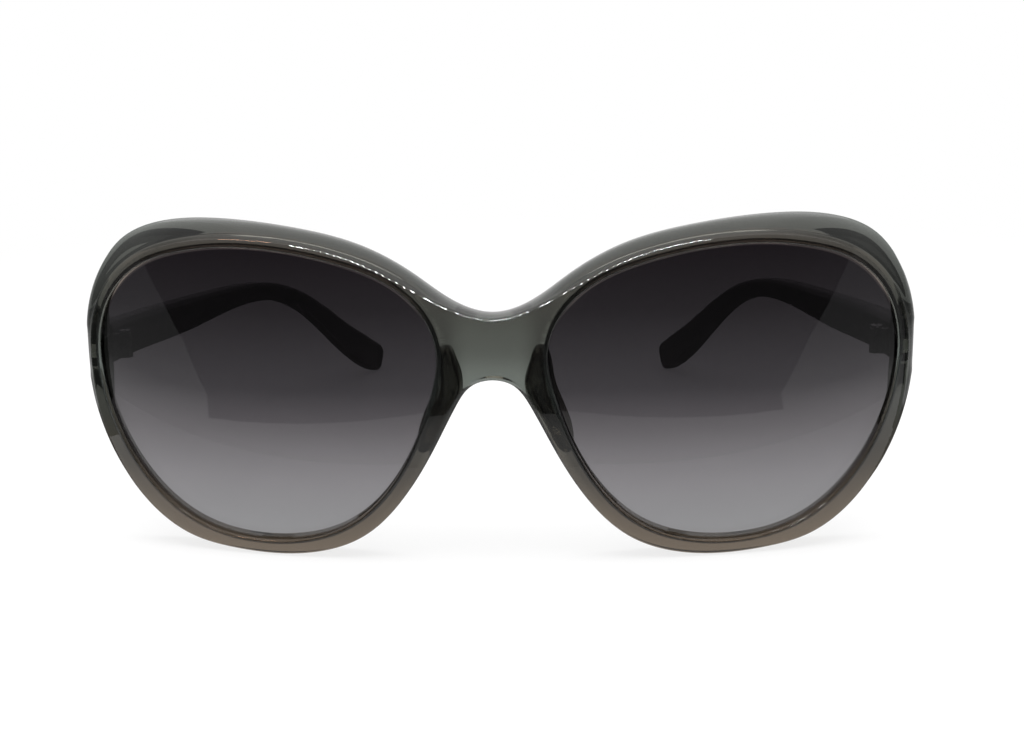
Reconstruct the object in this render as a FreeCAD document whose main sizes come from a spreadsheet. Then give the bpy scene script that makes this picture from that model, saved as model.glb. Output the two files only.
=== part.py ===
import FreeCAD, Part
import math
import os
import Sketcher
from FreeCAD import Placement, Rotation, Vector

# Oversized sunglasses, open and standing on a table, in millimetres.
# X runs across the face with the wearer's left at +X, Y runs from the front back to the arm tips,
# Z is up. The origin lies on the table, midway across and midway from front to back.

doc = FreeCAD.newDocument("Sunglasses")

# Driving sizes
SIZES = (
    ("half_width", 73.4, "middle plane to the outer side of the front"),
    ("front_height", 59.3, "table to the top of the brows"),
    ("overall_depth", 134.0, "foremost point of the front to the arm tips"),
    ("bridge_drop", 15.7, "top of the brows to the top of the bridge"),
    ("bridge_height", 10.8, "nose arch to the top of the bridge"),
    ("curve_radius", 110.0, "radius of the front's curve over each lens"),
    ("vertex_across", 22.1, "middle plane to the foremost point of that curve"),
    ("vertex_height", 30.0, "table to the foremost point of that curve"),
    ("bridge_blend", 8.0, "softness of the crease where the two curves meet at the bridge"),
    ("rim_depth", 5.5, "front face to back face of the rims"),
    ("wall_flare", 2.0, "how far the back outline stands out past the front outline"),
    ("bridge_width", 18.7, "distance between the lens openings"),
    ("side_rim", 4.05, "width of the rim at the outer side of a lens opening"),
    ("brow_rim", 4.25, "height of the rim over a lens opening"),
    ("rim_floor", 2.95, "height of the rim under a lens opening"),
    ("lens_thickness", 2.0, "thickness of a lens"),
    ("lens_recess", 1.0, "front of the rim to the front of the lens"),
    ("lens_bite", 0.7, "how far the lens edge sits in its groove"),
    ("groove_clearance", 0.05, "room round the lens in its groove"),
    ("joint_reach", 1.35, "back of the rim at the outer side to the butt joint and hinge axis"),
    ("joint_gap", 0.12, "gap between the front and an arm at the butt joint"),
    ("endpiece_run", 6.0, "length over which the rim swells to the butt joint"),
    ("endpiece_swell", 7.0, "how far that swelling runs up and down the rim"),
    ("endpiece_margin", 0.3, "how far the butt of the front stands past the arm's, above and below"),
    ("temple_thickness", 4.2, "thickness of an arm at the butt joint"),
    ("temple_height", 7.4, "height of an arm at the butt joint"),
    ("temple_drop", 23.9, "top of the brows to the middle of an arm at the butt joint"),
    ("temple_inset", 0.2, "outer side of the front to the outer side of an arm"),
    ("temple_bow", 35.6, "how far an arm's tip lies inwards of its root"),
    ("core_width", 1.3, "thickness of the stiffening wire"),
    ("core_height", 2.2, "height of the stiffening wire"),
    ("pad_reach", 8.6, "how far a nose pad stands out behind the rim"),
    ("pad_thickness", 4.6, "thickness of a nose pad at its thickest, before its corners are eased"),
    ("pad_clearance", 0.9, "back of a lens to the root of a nose pad, front to back"),
    ("pad_rise", 5.2, "nose arch to the top of a nose pad"),
    ("pad_height", 18.5, "foot to top of a nose pad"),
    ("pad_inset", 3.05, "edge of the lens opening to the middle of a nose pad at its thickest"),
    ("hinge_drop", 0.3, "middle of an arm at the butt joint to the middle of its hinge"),
    ("axis_inset", 2.3, "hinge axis to the inner side of an arm"),
    ("barrel_radius", 1.1, "radius of a hinge barrel"),
    ("knuckle_height", 1.45, "height of the middle knuckle"),
    ("knuckle_gap", 0.06, "play above and below the middle knuckle"),
    ("slot_clearance", 0.14, "room round the middle knuckle in the front leaf"),
    ("web_gap", 0.12, "hinge axis to the root of a knuckle's web"),
    ("leaf_height", 4.4, "height of a hinge leaf"),
    ("leaf_thickness", 0.9, "thickness of a hinge leaf"),
    ("leaf_setback", 0.4, "hinge axis to the near edge of a leaf"),
    ("leaf_clearance", 0.63, "back of a lens to the leaf in the front, front to back"),
    ("temple_leaf_length", 9.0, "length of the leaf in an arm"),
    ("anchor_depth", 1.2, "how deep a leaf's anchor is sunk"),
    ("anchor_height", 2.4, "height of a leaf's anchor"),
    ("anchor_margin", 1.0, "end of a leaf to the end of its anchor"),
    ("screw_radius", 0.55, "radius of the hinge screw's shank"),
    ("screw_clearance", 0.03, "room round the shank in the knuckles"),
    ("screw_head_radius", 0.95, "radius of the hinge screw's head"),
    ("screw_head_height", 0.5, "height of the hinge screw's head"),
    ("slot_width", 0.25, "width of the slot in that head"),
    ("slot_depth", 0.25, "depth of the slot in that head"),
    ("overrun", 4.0, "how far cutting shapes run past what they cut"),
)

# Sizes that follow from the driving ones
DERIVED_SIZES = (
    ("lens_width", "=half_width - side_rim - bridge_width / 2", "width of a lens opening"),
    ("lens_height", "=front_height - brow_rim - rim_floor", "height of a lens opening"),
    ("bridge_top", "=front_height - bridge_drop", "table to the top of the bridge"),
    ("nose_arch", "=bridge_top - bridge_height", "table to the top of the nose arch"),
    ("temple_level", "=front_height - temple_drop", "table to the middle of an arm at the butt joint"),
    ("hinge_level", "=temple_level - hinge_drop", "table to the middle of a hinge"),
    ("side_across", "=sqrt(half_width ^ 2 + bridge_blend ^ 2) - vertex_across",
     "foremost point of the front's curve to the outer side, across"),
    ("side_up", "=temple_level - vertex_height", "the same, up to the arm"),
    ("side_sag", "=curve_radius - sqrt(curve_radius ^ 2 - side_across ^ 2 - side_up ^ 2)",
     "the same, back along the curve"),
    ("joint_setback", "=side_sag + rim_depth + joint_reach",
     "foremost point of the front to the butt joint and hinge axis"),
    ("pad_seat", "=rim_depth - lens_recess - lens_thickness - pad_clearance",
     "how deep a nose pad's root sits in the rim"),
    ("lens_across", "=half_width - side_rim + lens_bite - vertex_across",
     "foremost point of the front's curve to the outer edge of a lens, across"),
    ("lens_back_radius", "=curve_radius - lens_recess - lens_thickness", "radius of a lens's back"),
    ("lens_back_sag", "=curve_radius - sqrt(lens_back_radius ^ 2 - lens_across ^ 2 - side_up ^ 2)",
     "foremost point of the front to the back of a lens at its outer edge"),
    ("front_leaf_length", "=joint_setback - leaf_setback - lens_back_sag - leaf_clearance",
     "length of the leaf in the front"),
)
SHEET_ROWS = SIZES + DERIVED_SIZES

sheet = doc.addObject("Spreadsheet::Sheet", "sizes")
for row, (alias, value, meaning) in enumerate(SHEET_ROWS, 1):
    sheet.set("A%d" % row, meaning)
    sheet.set("B%d" % row, str(value))
    sheet.setAlias("B%d" % row, alias)
doc.recompute()


class Measures:
    """The sheet's sizes as plain numbers, for the pieces whose outlines are worked out here."""


size = Measures()
for alias, _, _ in SHEET_ROWS:
    setattr(size, alias, float(sheet.get(alias)))

# Outline of the front's back edge from the bridge over the brow, down the side, under the lens and
# up to the nose arch: share across, share up, share of the wall's flare.
# Bridge points rise from the bridge's top to the front's height, rim points from the table to the
# front's height, nose points from the table to the nose arch.
BRIDGE_SHARES = (
    (0.000, 0.000, 0.05), (0.082, 0.110, 0.20),
)
RIM_SHARES = (
    (0.174, 0.843, 0.75), (0.301, 0.929, 0.95), (0.463, 0.979, 0.95), (0.647, 1.000, 1.30),
    (0.794, 0.984, 1.80), (0.896, 0.929, 2.00), (0.966, 0.816, 1.60), (0.997, 0.683, 1.20),
    (1.000, 0.556, 1.10), (0.985, 0.422, 0.95), (0.943, 0.273, 0.80), (0.861, 0.128, 0.55),
    (0.747, 0.034, 0.30), (0.644, 0.008, 0.20), (0.538, 0.000, 0.15), (0.422, 0.014, 0.15),
)
NOSE_SHARES = (
    (0.324, 0.110, 0.15), (0.218, 0.341, 0.10), (0.140, 0.625, 0.10), (0.085, 0.863, 0.10),
    (0.046, 0.973, 0.10), (0.000, 1.000, 0.10),
)
# Lens opening, as shares of its half width and half height from its centre
OPENING_SHARES = (
    (0.979, 0.038), (0.994, 0.345), (0.912, 0.643), (0.716, 0.861), (0.465, 0.962), (0.225, 1.000),
    (0.002, 0.998), (-0.436, 0.912), (-0.888, 0.630), (-0.999, 0.347), (-0.959, 0.038),
    (-0.771, -0.476), (-0.451, -0.865), (0.002, -1.000), (0.465, -0.887), (0.805, -0.496),
)
# Arm, from just before the butt joint to the tip: share of the arm's reach, share of its level,
# share of its height, share of its thickness
TEMPLE_SHARES = (
    (-0.020, 1.004, 1.00, 1.00), (0.114, 0.966, 0.95, 0.95), (0.316, 0.918, 0.87, 0.88),
    (0.453, 0.904, 0.66, 0.84), (0.588, 0.855, 0.54, 0.82), (0.693, 0.731, 0.53, 0.82),
    (0.772, 0.565, 0.62, 0.84), (0.850, 0.365, 0.80, 0.86), (0.915, 0.208, 0.95, 0.86),
    (0.965, 0.104, 0.90, 0.76), (0.992, 0.060, 0.56, 0.48),
)
BOW_POWER_SHARE = 1.56
# Stiffening wire: where on the arm's reach it starts and ends
CORE_SPAN_SHARES = (0.110, 0.900)
# Nose pad, from its foot to its top: share of its rise, share of its reach, share of its thickness,
# share of its inset
PAD_SHARES = (
    (0.00, 0.30, 0.41, 0.85), (0.12, 0.62, 0.67, 0.82), (0.35, 0.95, 0.80, 0.88),
    (0.62, 1.00, 1.00, 1.00), (0.84, 0.72, 0.72, 0.72), (1.00, 0.34, 0.37, 0.54),
)
PAD_SPLAY_SHARE = 0.10
# Corners of rounded sections, as a share of their smaller half size
CORNER_SHARE = 0.8

FRONT_Y = -size.overall_depth / 2
JOINT_Y = FRONT_Y + size.joint_setback
JOINT_Y_RULE = "sizes.joint_setback - sizes.overall_depth / 2"
ARM_INNER = size.half_width - size.temple_inset - size.temple_thickness
AXIS_X_RULE = "(sizes.half_width - sizes.temple_inset - sizes.temple_thickness - sizes.axis_inset)"
BACK_SPAN_RULE = "sizes.joint_setback + 3 * sizes.overrun"
ACROSS, BACK, UP = Vector(1, 0, 0), Vector(0, 1, 0), Vector(0, 0, 1)
ORIGIN = Vector(0, 0, 0)
SIDES = (("left", 1), ("right", -1))


# Document helpers
def feature(name, shape):
    """Hold a worked-out shape as an object of the document."""
    held = doc.addObject("Part::Feature", name)
    held.Shape = shape
    held.Placement = Placement()
    return held


def bind(thing, **rules):
    """Tie properties of an object to the sheet; double underscores stand for dots."""
    for name, rule in rules.items():
        thing.setExpression(name.replace("__", "."), rule)
    return thing


def combine(kind, name, base, tool):
    result = doc.addObject(kind, name)
    result.Base = base
    result.Tool = tool
    return result


def common(name, base, tool):
    return combine("Part::Common", name, base, tool)


def cut(name, base, tool):
    return combine("Part::Cut", name, base, tool)


def fuse(name, shapes):
    result = doc.addObject("Part::MultiFuse", name)
    result.Shapes = shapes
    return result


def extrude(name, profile, direction, rule):
    """Draw a face along a direction into a solid whose length the sheet sets."""
    result = doc.addObject("Part::Extrusion", name)
    result.Base = profile
    result.DirMode = "Custom"
    result.Dir = direction
    result.Solid = True
    return bind(result, LengthFwd=rule)


def mirrored(shape):
    return shape.mirror(ORIGIN, ACROSS)


def on_side(shape, sign):
    """A shape worked out for the wearer's left, moved to the given side."""
    return shape if sign > 0 else mirrored(shape)


# Curves
def run_of(points):
    """Running chord length along a list of points, the parameters of a spline through them."""
    run = [0.0]
    for start, end in zip(points, points[1:]):
        run.append(run[-1] + start.distanceToPoint(end))
    return run


def normals(loop):
    """Unit directions square to a closed outline in the XZ plane, to its left as it runs."""
    result = []
    for i in range(len(loop)):
        step = (loop[(i + 1) % len(loop)] - loop[i - 1]).normalize()
        result.append(Vector(-step.z, 0, step.x))
    return result


def other_half(half):
    """The mirror image of half an outline, run the other way, without the ends they share."""
    return [Vector(-p.x, p.y, p.z) for p in reversed(half[1:-1])]


def front_face(x, z):
    """Y of the front face: a sphere over each lens, blended across the bridge."""
    across = math.hypot(x, size.bridge_blend) - size.vertex_across
    up = z - size.vertex_height
    return FRONT_Y + size.curve_radius - math.sqrt(size.curve_radius ** 2 - across ** 2 - up ** 2)


def outline_points():
    """The left half of the back outline, flat in XZ, with the flare of the wall at each point."""
    rows = [(a, size.bridge_top + u * size.bridge_drop, f) for a, u, f in BRIDGE_SHARES]
    rows += [(a, u * size.front_height, f) for a, u, f in RIM_SHARES]
    rows += [(a, u * size.nose_arch, f) for a, u, f in NOSE_SHARES]
    points = [Vector(a * size.half_width, 0, z) for a, z, _ in rows]
    return points, [f * size.wall_flare for _, _, f in rows]


def outline_edge(half, run):
    """Half an outline as a smooth curve, which runs on into the other half at both ends."""
    lap = 4
    beyond = [Vector(-p.x, p.y, p.z) for p in half]
    points = beyond[lap:0:-1] + half + beyond[-2:-lap - 2:-1]
    steps = [-r for r in run[lap:0:-1]] + run + [2 * run[-1] - r for r in run[-2:-lap - 2:-1]]
    curve = Part.BSplineCurve()
    curve.interpolate(Points=points, Parameters=steps)
    curve.segment(run[0], run[-1])
    return curve.toShape()


def sewn_solid(faces):
    shell = Part.makeShell(faces)
    shell.sewShape()
    solid = Part.Solid(shell)
    if solid.Volume < 0:
        solid.reverse()
    return solid


def outer_wall():
    """All that lies inside the front's outer wall, which runs straight from front to back outline."""
    back, flares = outline_points()
    before, behind = [], []
    for point, square, flare in zip(back, normals(back + other_half(back)), flares):
        ridge = point - square * flare
        foot = Vector(ridge.x, front_face(ridge.x, ridge.z), ridge.z)
        head = Vector(point.x, front_face(point.x, point.z) + size.rim_depth, point.z)
        slope = (head - foot) / (head.y - foot.y)
        before.append(foot + slope * (FRONT_Y - size.overrun - foot.y))
        behind.append(foot + slope * (JOINT_Y + size.overrun - foot.y))
    run = run_of(back)
    near, far = outline_edge(before, run), outline_edge(behind, run)
    side = Part.makeRuledSurface(near, far)
    ends = [Part.Face(Part.Wire([edge, mirrored(edge)])) for edge in (near, far)]
    return sewn_solid([side, mirrored(side)] + ends)


def opening_points(grow):
    """The left lens opening, flat in front of the part, let out by a distance."""
    centre_x = (size.bridge_width + size.lens_width) / 2
    centre_z = size.rim_floor + size.lens_height / 2
    points = [Vector(centre_x + a * size.lens_width / 2, FRONT_Y - size.overrun,
                     centre_z + u * size.lens_height / 2) for a, u in OPENING_SHARES]
    return [p - n * grow for p, n in zip(points, normals(points))]


def nose_edge(z):
    """X of the left lens opening's edge on its nose side, where the outline runs down, at a height."""
    points = opening_points(0.0)
    for upper, lower in zip(points, points[1:]):
        if upper.z >= z > lower.z:
            return lower.x + (upper.x - lower.x) * (z - lower.z) / (upper.z - lower.z)
    return points[0].x


def opening_face(grow, sign):
    points = opening_points(grow)
    curve = Part.BSplineCurve()
    curve.interpolate(Points=points, PeriodicFlag=True, Parameters=run_of(points + points[:1]))
    return on_side(Part.Face(Part.Wire(curve.toShape())), sign)


def front_sheet():
    """The front face as one smooth surface that runs past the outline."""
    columns, rows = 33, 15
    wide = size.half_width + size.overrun
    low, high = -size.overrun, size.front_height + size.overrun
    grid = []
    for i in range(columns):
        x = wide * (2 * i / (columns - 1) - 1)
        levels = [low + (high - low) * j / (rows - 1) for j in range(rows)]
        grid.append([Vector(x, front_face(x, z), z) for z in levels])
    surface = Part.BSplineSurface()
    surface.interpolate(grid)
    return surface.toShape()


def rounded_section(centre, side, up, half_side, half_up):
    """Control points of a rounded oblong, three to each corner."""
    corner = CORNER_SHARE * min(half_side, half_up)
    points = []
    for s, u, side_first in ((1, 1, True), (-1, 1, False), (-1, -1, True), (1, -1, False)):
        near_up = (s * half_side, u * (half_up - corner))
        near_side = (s * (half_side - corner), u * half_up)
        at = (s * half_side, u * half_up)
        order = (near_up, at, near_side) if side_first else (near_side, at, near_up)
        points += [centre + side * a + up * b for a, b in order]
    return points


def tube(sections):
    """A solid through rounded sections, smooth along and around, flat at both ends."""
    run = run_of([sum(s, Vector()) / len(s) for s in sections])
    rails = []
    for points in zip(*sections):
        rail = Part.BSplineCurve()
        rail.interpolate(Points=list(points), Parameters=run)
        rails.append(rail)
    around = len(rails)
    surface = Part.BSplineSurface()
    surface.buildFromPolesMultsKnots(
        [list(row) for row in zip(*(r.getPoles() for r in rails))],
        rails[0].getMultiplicities(), [1] * (around + 1),
        rails[0].getKnots(), [float(k) for k in range(around + 1)], False, True, 3, 3)
    skin = surface.toShape()
    first, last = surface.getUKnot(1), surface.getUKnot(surface.NbUKnots)
    caps = [Part.Face(Part.Wire(surface.uIso(u).toShape())) for u in (first, last)]
    return sewn_solid([skin] + caps)


# Arms
def arm_centre(share, level_share):
    reach = size.overall_depth - size.joint_setback
    bow = size.temple_bow * max(share, 0) ** BOW_POWER_SHARE
    x = ARM_INNER + size.temple_thickness / 2 - bow
    return Vector(x, JOINT_Y + share * reach, level_share * size.temple_level)


def arm_sections(rows):
    """Sections square to the arm's run: rows hold run share, level share, height and thickness."""
    centres = [arm_centre(along, level) for along, level, _, _ in rows]
    sections = []
    for i, (_, _, height, thickness) in enumerate(rows):
        ahead = centres[min(i + 1, len(rows) - 1)] - centres[max(i - 1, 0)]
        ahead = BACK if i == 0 else ahead.normalize()
        side = ahead.cross(UP).normalize()
        sections.append(rounded_section(centres[i], side, side.cross(ahead), thickness / 2, height / 2))
    return sections


def temple_shape():
    rows = [(a, l, h * size.temple_height, t * size.temple_thickness) for a, l, h, t in TEMPLE_SHARES]
    return tube(arm_sections(rows))


def core_shape():
    first, last = CORE_SPAN_SHARES
    rows = [(a, l, size.core_height, size.core_width)
            for a, l, _, _ in TEMPLE_SHARES if first <= a <= last]
    return tube(arm_sections(rows))


# Nose pads
def pad_shape():
    """A fin that stands out behind the rim and splays outwards, its root sunk in the rim."""
    sections = []
    foot = size.nose_arch + size.pad_rise - size.pad_height
    for rise, reach_share, thick, inset in PAD_SHARES:
        z = foot + rise * size.pad_height
        x = nose_edge(z) - inset * size.pad_inset
        root = front_face(x, z) + size.rim_depth - size.pad_seat
        reach = size.pad_seat + reach_share * size.pad_reach
        along = Vector(PAD_SPLAY_SHARE, 1, 0).normalize()
        side = along.cross(UP)
        centre = Vector(x, root, z) + along * (reach / 2)
        sections.append(rounded_section(centre, side, along, thick * size.pad_thickness / 2, reach / 2))
    return tube(sections)


# Front
def front_blank():
    """Rims and bridge: a curved slab inside the outer wall, swollen to the butt joints."""
    sheet_face = feature("front_sheet", front_sheet())
    wall = feature("outer_wall", outer_wall())
    slab = extrude("front_slab", sheet_face, BACK, "sizes.rim_depth")
    deep_slab = extrude("front_deep_slab", sheet_face, BACK, BACK_SPAN_RULE)
    pieces = [common("rims", slab, wall)]
    for side, sign in SIDES:
        profile = feature(side + "_endpiece_profile", endpiece_profile(sign))
        wedge = extrude(side + "_endpiece_wedge", profile, ACROSS * -sign,
                        "sizes.half_width - (sizes.bridge_width + sizes.lens_width) / 2")
        stock = common(side + "_endpiece_stock", deep_slab, wall)
        pieces.append(common(side + "_endpiece", stock, wedge))
    return fuse("front_blank", pieces)


def endpiece_profile(sign):
    """Side view of the swelling at a butt joint, drawn on the outer side of the front."""
    half = size.temple_height / 2 + size.endpiece_margin
    butt = JOINT_Y - size.joint_gap / 2
    root = butt - size.endpiece_run
    swollen = half + size.endpiece_swell
    corners = ((root, -swollen), (butt, -half), (butt, half), (root, swollen))
    points = [Vector(sign * size.half_width, y, size.temple_level + z) for y, z in corners]
    return Part.Face(Part.makePolygon(points + points[:1]))


def lens_body(name, sign, clearance, clearance_rule):
    """A lens, or with a clearance the groove that takes it: a spherical shell inside the outline."""
    outline = feature(name + "_outline", opening_face(size.lens_bite + clearance, sign))
    column = extrude(name + "_column", outline, BACK, BACK_SPAN_RULE)
    spheres = []
    rules = (("front", "+ " + clearance_rule), ("back", "- sizes.lens_thickness - " + clearance_rule))
    for part, rule in rules:
        ball = doc.addObject("Part::Sphere", "%s_%s" % (name, part))
        bind(ball, Radius="sizes.curve_radius - sizes.lens_recess " + rule,
             Placement__Base__x="%d * sizes.vertex_across" % sign,
             Placement__Base__y="sizes.curve_radius - sizes.overall_depth / 2",
             Placement__Base__z="sizes.vertex_height")
        spheres.append(ball)
    return common(name, column, cut(name + "_shell", *spheres))


# Hinge pieces, drawn round the hinge axis with the leaf behind it and the arm outside it
def plane_of(body):
    return next(f for f in body.Origin.OriginFeatures if f.Role == "XY_Plane")


def sketch_on(body, name):
    sketch = body.newObject("Sketcher::SketchObject", name)
    sketch.AttachmentSupport = (plane_of(body), [""])
    sketch.MapMode = "FlatFace"
    return sketch


def draw_circle(body, name, rule):
    sketch = sketch_on(body, name)
    circle = sketch.addGeometry(Part.Circle(ORIGIN, UP, size.barrel_radius))
    sketch.addConstraint(Sketcher.Constraint("Coincident", circle, 3, -1, 1))
    radius = sketch.addConstraint(Sketcher.Constraint("Radius", circle, size.barrel_radius))
    sketch.setExpression("Constraints[%d]" % radius, rule)
    return sketch


def draw_oblong(body, name, left, right, near, far):
    """A rectangle whose four sides the sheet places, by their distances from the axis."""
    sketch = sketch_on(body, name)
    start, end = size.barrel_radius, 2 * size.barrel_radius
    corners = [Vector(start, start, 0), Vector(end, start, 0), Vector(end, end, 0), Vector(start, end, 0)]
    for a, b in zip(corners, corners[1:] + corners[:1]):
        sketch.addGeometry(Part.LineSegment(a, b))
    for i in range(4):
        sketch.addConstraint(Sketcher.Constraint("Coincident", i, 2, (i + 1) % 4, 1))
        sketch.addConstraint(Sketcher.Constraint(("Horizontal", "Vertical")[i % 2], i))
    for kind, line, value, rule in (("DistanceX", 0, start, left), ("DistanceY", 0, start, near),
                                    ("DistanceX", 2, end, right), ("DistanceY", 2, end, far)):
        placed = sketch.addConstraint(Sketcher.Constraint(kind, -1, 1, line, 1, value))
        sketch.setExpression("Constraints[%d]" % placed, rule)
    return sketch


def step(body, kind, name, sketch, rule):
    """Pad or pocket a sketch evenly to both sides of the hinge's middle."""
    made = body.newObject("PartDesign::" + kind, name)
    made.Profile = sketch
    made.SideType = "Symmetric"
    return bind(made, Length=rule)


def leaf_body(name, length_rule, knuckle_rule):
    """A hinge leaf: plate, web, barrel and a sunk anchor, bored for the screw."""
    body = doc.addObject("PartDesign::Body", name)
    outer = "sizes.axis_inset + sizes.leaf_thickness"
    end = "sizes.leaf_setback + " + length_rule
    plate = draw_oblong(body, name + "_plate_outline", "sizes.axis_inset", outer, "sizes.leaf_setback", end)
    step(body, "Pad", name + "_plate", plate, "sizes.leaf_height")
    web = draw_oblong(body, name + "_web_outline", "sizes.screw_radius", outer,
                      "sizes.web_gap", "sizes.barrel_radius")
    step(body, "Pad", name + "_web", web, knuckle_rule)
    step(body, "Pad", name + "_barrel", draw_circle(body, name + "_barrel_outline", "sizes.barrel_radius"),
         knuckle_rule)
    anchor = draw_oblong(body, name + "_anchor_outline", outer, outer + " + sizes.anchor_depth",
                         "sizes.leaf_setback + sizes.anchor_margin", end + " - sizes.anchor_margin")
    step(body, "Pad", name + "_anchor", anchor, "sizes.anchor_height")
    return body


def bore(body, name):
    bore_outline = draw_circle(body, name + "_bore_outline", "sizes.screw_radius + sizes.screw_clearance")
    step(body, "Pocket", name + "_bore", bore_outline, "sizes.leaf_height + sizes.overrun")


def at_hinge(thing, sign, level_rule="sizes.hinge_level"):
    return bind(thing, Placement__Base__x="%d * %s" % (sign, AXIS_X_RULE),
                Placement__Base__y=JOINT_Y_RULE, Placement__Base__z=level_rule)


def front_leaf(side, sign):
    """The leaf in the front, turned about to lie before the axis, slotted for the middle knuckle."""
    name = side + "_front_leaf"
    body = leaf_body(name, "sizes.front_leaf_length", "sizes.leaf_height")
    slot = draw_circle(body, name + "_slot_outline", "sizes.barrel_radius + sizes.slot_clearance")
    step(body, "Pocket", name + "_slot", slot, "sizes.knuckle_height + 2 * sizes.knuckle_gap")
    bore(body, name)
    body.Placement = Placement(ORIGIN, Rotation(ACROSS if sign > 0 else UP, 180))
    return at_hinge(body, sign)


def temple_leaf(side, sign):
    name = side + "_temple_leaf"
    body = leaf_body(name, "sizes.temple_leaf_length", "sizes.knuckle_height")
    bore(body, name)
    body.Placement = Placement(ORIGIN, Rotation(BACK, 0 if sign > 0 else 180))
    return at_hinge(body, sign)


def hinge_seat(side, sign):
    """A block that clears the inner side of the front beside a hinge, down to the leaf's plate."""
    block = doc.addObject("Part::Box", side + "_hinge_seat")
    return bind(block, Length="sizes.axis_inset + sizes.overrun",
                Width="sizes.leaf_setback + sizes.front_leaf_length", Height="sizes.leaf_height",
                Placement__Base__x="%d * (%s + (sizes.axis_inset - sizes.overrun) / 2)"
                                   " - (sizes.axis_inset + sizes.overrun) / 2" % (sign, AXIS_X_RULE),
                Placement__Base__y=JOINT_Y_RULE + " - sizes.leaf_setback - sizes.front_leaf_length",
                Placement__Base__z="sizes.hinge_level - sizes.leaf_height / 2")


def hinge_screw(side, sign):
    """A slotted screw: its shank fills the knuckles and its head rests on the upper one."""
    name = side + "_hinge_screw"
    top = "sizes.hinge_level + sizes.leaf_height / 2"
    shank = doc.addObject("Part::Cylinder", name + "_shank")
    bind(shank, Radius="sizes.screw_radius", Height="sizes.leaf_height")
    at_hinge(shank, sign, "sizes.hinge_level - sizes.leaf_height / 2")
    head = doc.addObject("Part::Cylinder", name + "_head")
    bind(head, Radius="sizes.screw_head_radius", Height="sizes.screw_head_height")
    at_hinge(head, sign, top)
    slot = doc.addObject("Part::Box", name + "_slot")
    bind(slot, Length="sizes.slot_width", Width="2 * sizes.screw_head_radius", Height="sizes.slot_depth",
         Placement__Base__x="%d * %s - sizes.slot_width / 2" % (sign, AXIS_X_RULE),
         Placement__Base__y=JOINT_Y_RULE + " - sizes.screw_head_radius",
         Placement__Base__z=top + " + sizes.screw_head_height - sizes.slot_depth")
    return cut(name, fuse(name + "_blank", [shank, head]), slot)


def joint_cutter(side, sign):
    """A block that takes off an arm's root at the butt joint."""
    block = doc.addObject("Part::Box", side + "_joint_cutter")
    return bind(block, Length="2 * sizes.overrun + sizes.temple_thickness",
                Width="sizes.overrun + sizes.joint_gap / 2",
                Height="2 * sizes.overrun + sizes.temple_height",
                Placement__Base__x="%d * (sizes.half_width - sizes.temple_thickness / 2)"
                                   " - sizes.overrun - sizes.temple_thickness / 2" % sign,
                Placement__Base__y=JOINT_Y_RULE + " - sizes.overrun",
                Placement__Base__z="sizes.temple_level - sizes.temple_height / 2 - sizes.overrun")


# Assembly
parts = {}
front = front_blank()
for side, sign in SIDES:
    opening = extrude(side + "_opening", feature(side + "_opening_outline", opening_face(0.0, sign)),
                      BACK, BACK_SPAN_RULE)
    front = cut(side + "_opened_front", front, opening)
    groove = lens_body(side + "_groove", sign, size.groove_clearance, "sizes.groove_clearance")
    front = cut(side + "_grooved_front", front, groove)
    parts[side + "_lens"] = lens_body(side + "_lens", sign, 0.0, "0")

    leaf = parts[side + "_front_leaf"] = front_leaf(side, sign)
    front = cut(side + "_seated_front", front, hinge_seat(side, sign))
    front = cut(side + "_fitted_front", front, leaf)
    leaf = parts[side + "_temple_leaf"] = temple_leaf(side, sign)
    parts[side + "_hinge_screw"] = hinge_screw(side, sign)

    arm = feature(side + "_temple_blank", on_side(temple_shape(), sign))
    core = parts[side + "_temple_core"] = feature(side + "_temple_core", on_side(core_shape(), sign))
    arm = cut(side + "_butted_temple", arm, joint_cutter(side, sign))
    arm = cut(side + "_cored_temple", arm, core)
    parts[side + "_temple"] = cut(side + "_temple", arm, leaf)
parts["front_frame"] = front
for side, sign in SIDES:
    pad = feature(side + "_nose_pad_blank", on_side(pad_shape(), sign))
    parts[side + "_nose_pad"] = cut(side + "_nose_pad", pad, front)

for name, part in parts.items():
    part.Label = name
doc.recompute()

# Checks and files
for thing in doc.Objects:
    if "Invalid" in thing.State or "Error" in thing.State:
        raise RuntimeError("%s failed: %s" % (thing.Name, thing.State))
for name, part in parts.items():
    if part.Shape.isNull() or not part.Shape.isValid() or len(part.Shape.Solids) != 1:
        raise RuntimeError("%s is not one sound solid" % name)

os.makedirs("parts", exist_ok=True)
for name, part in parts.items():
    part.Shape.exportStep(os.path.join("parts", name + ".step"))
    box = part.Shape.BoundBox
    print("%-20s %9.2f mm3  x %7.2f %7.2f  y %7.2f %7.2f  z %6.2f %6.2f" % (
        name, part.Shape.Volume, box.XMin, box.XMax, box.YMin, box.YMax, box.ZMin, box.ZMax))
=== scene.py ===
import math

import bmesh
import bpy
import numpy as np
from mathutils import Matrix, Vector


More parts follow.
